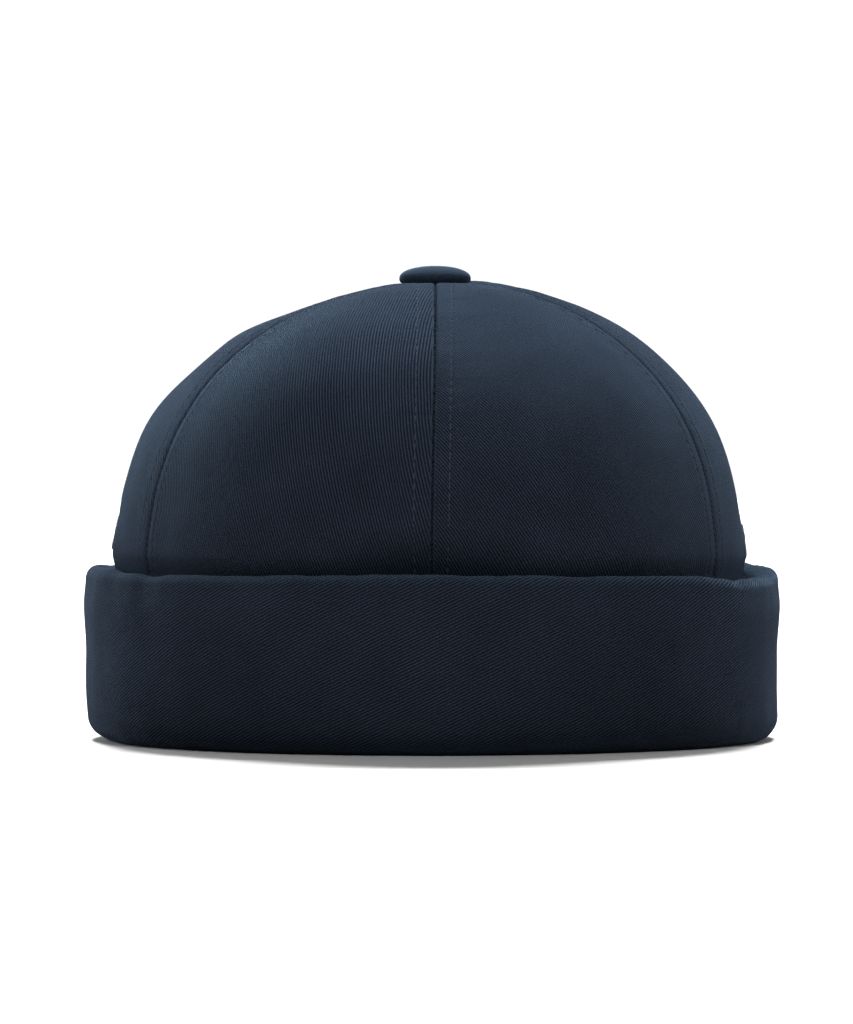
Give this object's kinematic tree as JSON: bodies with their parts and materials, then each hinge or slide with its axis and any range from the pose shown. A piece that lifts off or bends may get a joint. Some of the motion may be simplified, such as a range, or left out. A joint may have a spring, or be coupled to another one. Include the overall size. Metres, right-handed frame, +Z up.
{
  "type": "brimless cap",
  "caption": "Rounded panelled cloth cap with no brim, a covered top button, stitched side eyelets and a wide plain turned-up cuff.",
  "frame": {"origin": "centre of the base, on the surface that the cuff stands on", "axes": "+Z up through the top button, -Y to the front of the cap, +X to the right seen from the front"},
  "size_m": [0.1942, 0.2134, 0.1323],
  "materials": {
    "crown_twill": "navy cotton twill, matt with a faint sheen",
    "cuff_twill": "navy cotton twill, matt with a faint sheen",
    "button_twill": "navy cotton twill drawn over a button",
    "eyelet_thread": "satin embroidery thread"
  },
  "bodies": {
    "root": {"crown_panel_front_left": "crown_twill", "crown_panel_front_right": "crown_twill", "crown_panel_side_left": "crown_twill", "crown_panel_side_right": "crown_twill", "crown_panel_back_left": "crown_twill", "crown_panel_back_right": "crown_twill", "cuff": "cuff_twill", "top_button": "button_twill", "eyelet_left": "eyelet_thread", "eyelet_right": "eyelet_thread"}
  },
  "joints": []
}
